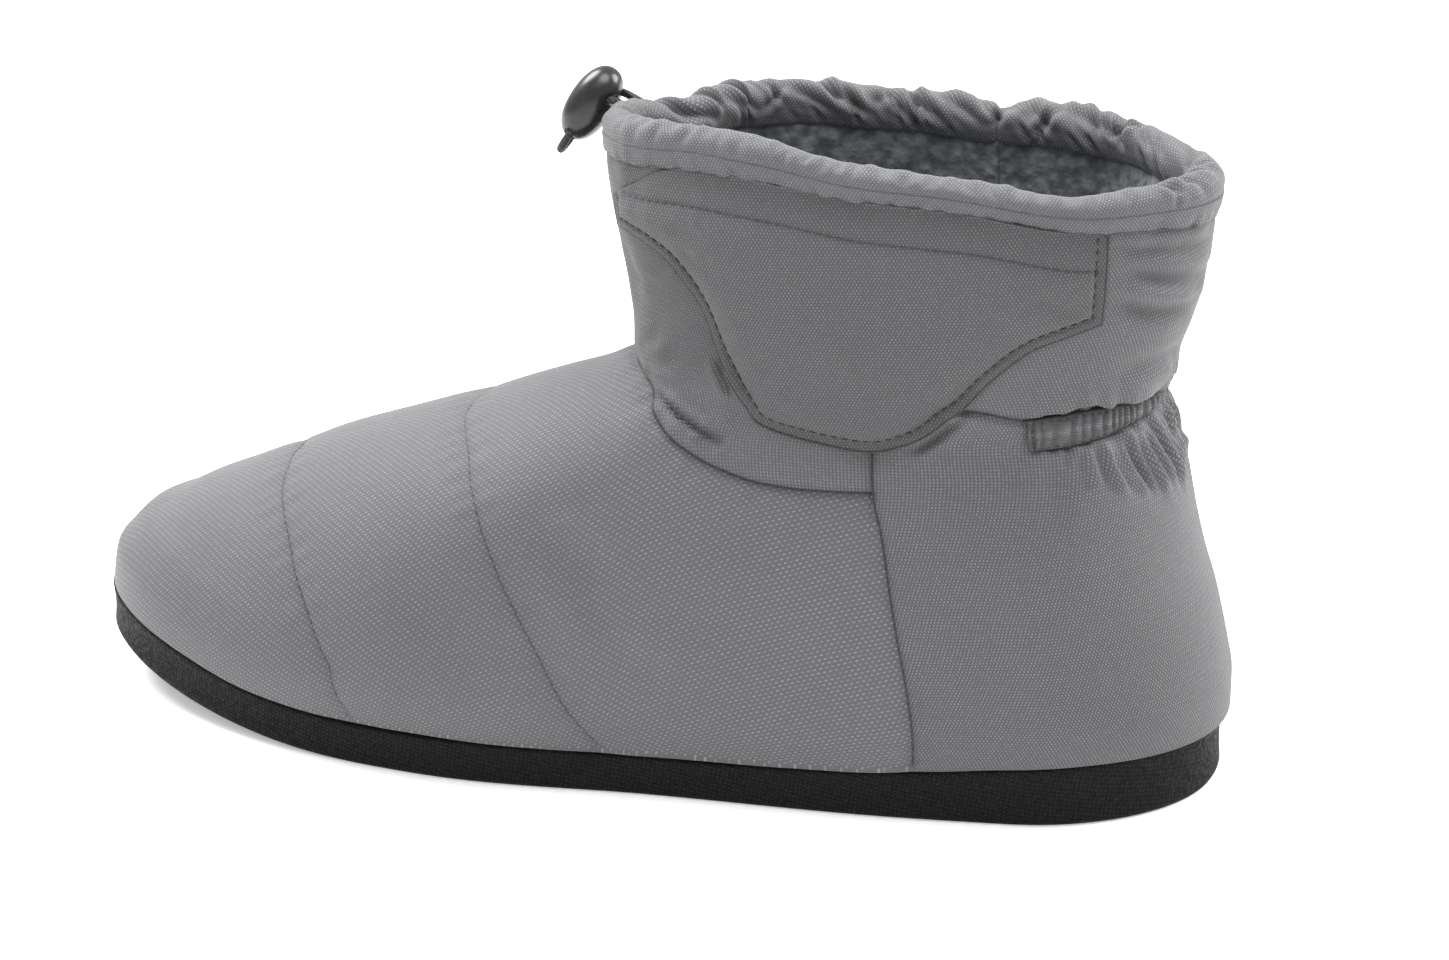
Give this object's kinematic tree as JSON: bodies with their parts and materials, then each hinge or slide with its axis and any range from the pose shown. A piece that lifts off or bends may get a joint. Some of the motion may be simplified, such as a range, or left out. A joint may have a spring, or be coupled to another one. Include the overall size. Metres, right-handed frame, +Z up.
{
  "type": "heated ankle boot",
  "caption": "Padded heated ankle boot for the left foot: quilted upper, battery pocket on the outer shaft, drawcord collar and flat foam sole.",
  "frame": {"origin": "middle of the boot's box on the floor", "axes": "+Z up, -X toward the toe, +X toward the heel, -Y toward the outer side of the foot"},
  "size_m": [0.292, 0.1078, 0.1653],
  "materials": {
    "sole": "matte, fine diagonal texture",
    "insole": "fleece",
    "upper": "matte woven shell, quilted",
    "collar_casing": "matte woven shell, gathered",
    "battery_pocket": "matte woven shell, topstitched",
    "heel_elastic": "ruffled shell over elastic",
    "cord_toggle": "smooth, glossy",
    "drawcord": "round braided cord"
  },
  "bodies": {
    "root": {"sole": "sole", "insole": "insole", "upper": "upper", "collar_casing": "collar_casing", "battery_pocket": "battery_pocket", "heel_elastic": "heel_elastic", "cord_toggle": "cord_toggle", "drawcord": "drawcord"}
  },
  "joints": []
}
